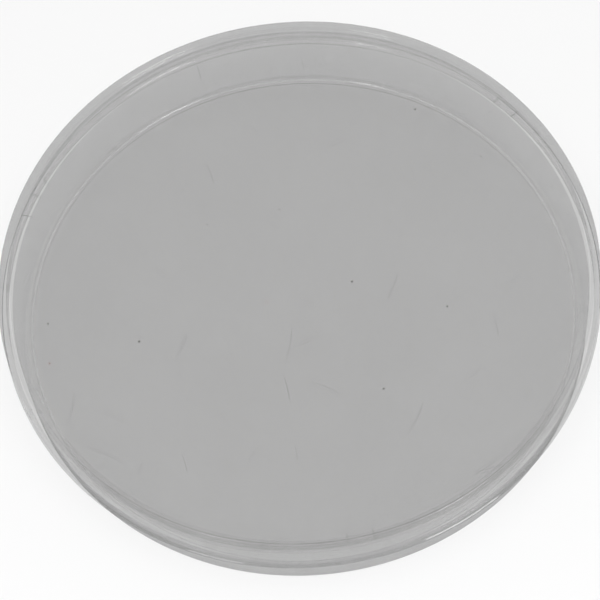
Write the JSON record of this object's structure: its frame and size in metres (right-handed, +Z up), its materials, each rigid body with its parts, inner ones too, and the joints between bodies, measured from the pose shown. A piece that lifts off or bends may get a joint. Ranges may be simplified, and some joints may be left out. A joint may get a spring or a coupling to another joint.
{
  "type": "petri dish",
  "caption": "Clear round laboratory culture dish: a shallow flat-bottomed base with a thin upright wall, closed by a loose overlapping lid with a raised stacking rim.",
  "frame": {"origin": "on the dish's axis, in the plane of the surface that the base's foot ring stands on", "axes": "+Z up along the dish's axis; +X to the right and +Y away as seen from the front, with one spacer pad near the front"},
  "size_m": [0.1, 0.1, 0.0148],
  "materials": {
    "base_polystyrene": "clear, glossy",
    "lid_polystyrene": "clear, glossy, lightly scuffed"
  },
  "bodies": {
    "base": {"base_dish": "base_polystyrene"},
    "lid": {"lid": "lid_polystyrene"}
  },
  "joints": [
    {"name": "lid_lift", "type": "slide", "parent": "base", "child": "lid", "axis": [0, 0, 1], "range_m": [0, 0.03]}
  ]
}
